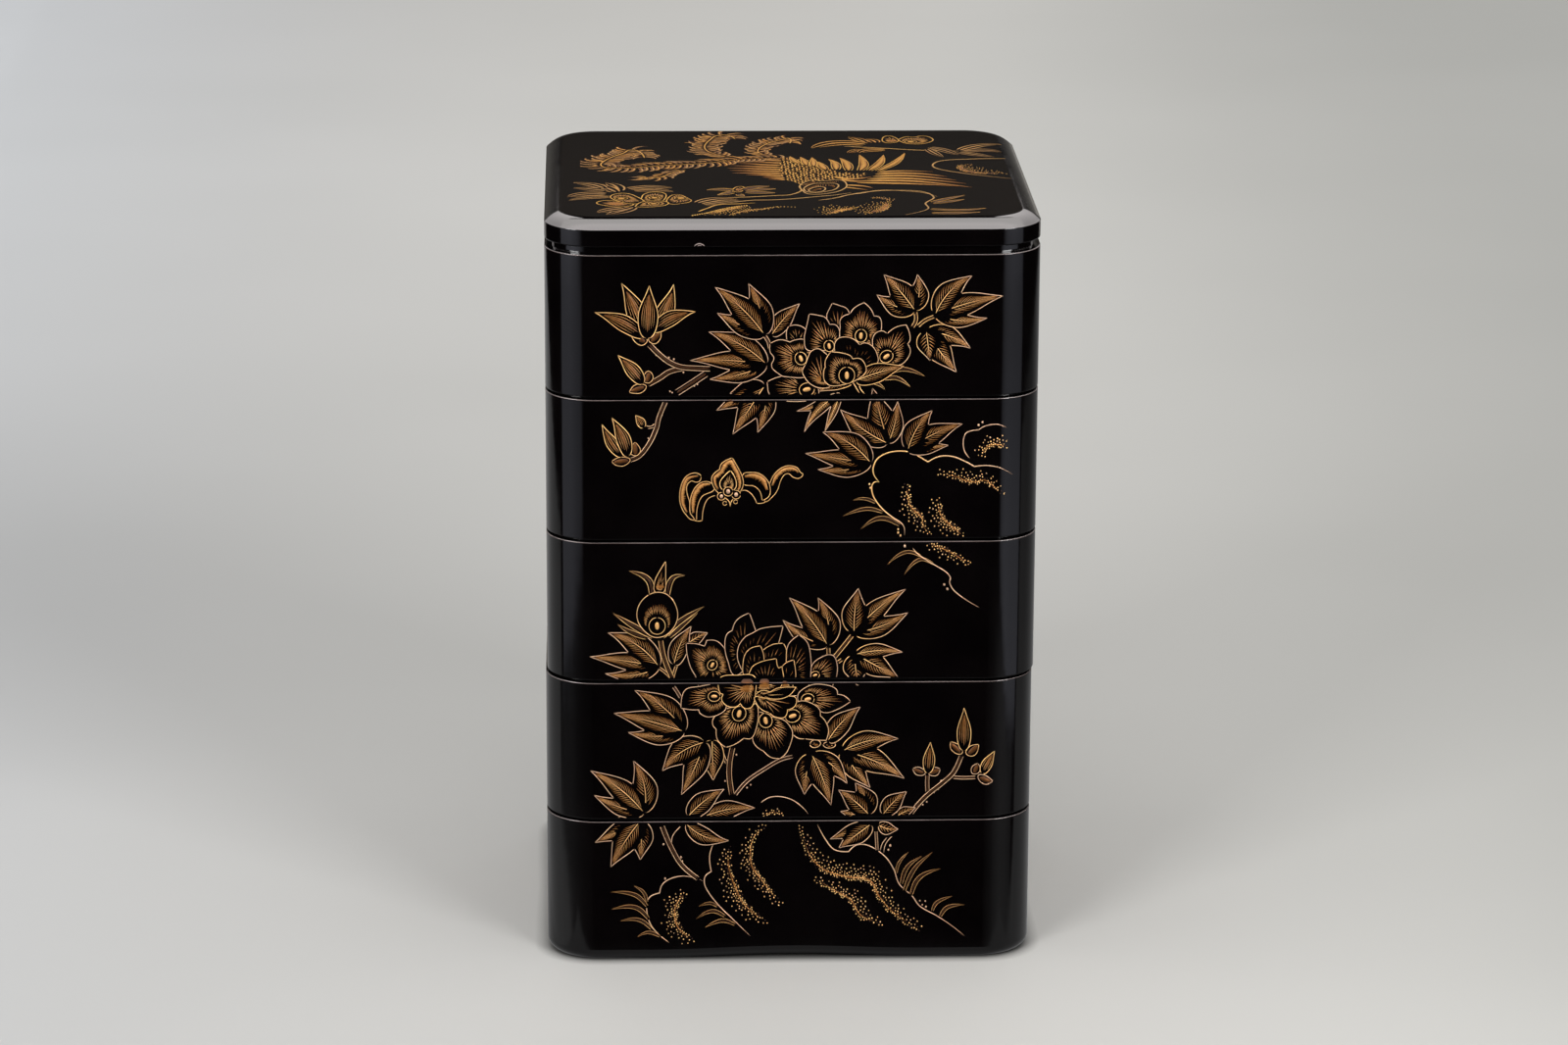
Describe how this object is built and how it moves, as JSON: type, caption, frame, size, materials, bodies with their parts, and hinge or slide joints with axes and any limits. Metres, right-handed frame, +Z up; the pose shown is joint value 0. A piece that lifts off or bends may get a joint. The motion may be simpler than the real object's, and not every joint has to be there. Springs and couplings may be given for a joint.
{
  "type": "tiered lacquer box",
  "caption": "Tall stack of lacquered food trays with rounded corners under a lift-off lid whose edge curves down, each tray seated over the lip of the one below.",
  "frame": {"origin": "on the table, under the middle of the stack", "axes": "+Z up, -Y towards the decorated front, +X to the right as seen from the front"},
  "size_m": [0.2126, 0.2, 0.3311],
  "materials": {
    "black_lacquer": "deep black polished lacquer over wood",
    "gold_line": "gold filled fine engraved lines"
  },
  "bodies": {
    "root": {"lid": "black_lacquer", "tier_1": "black_lacquer", "tier_2": "black_lacquer", "tier_3": "black_lacquer", "tier_4": "black_lacquer", "tier_5": "black_lacquer"}
  },
  "joints": []
}
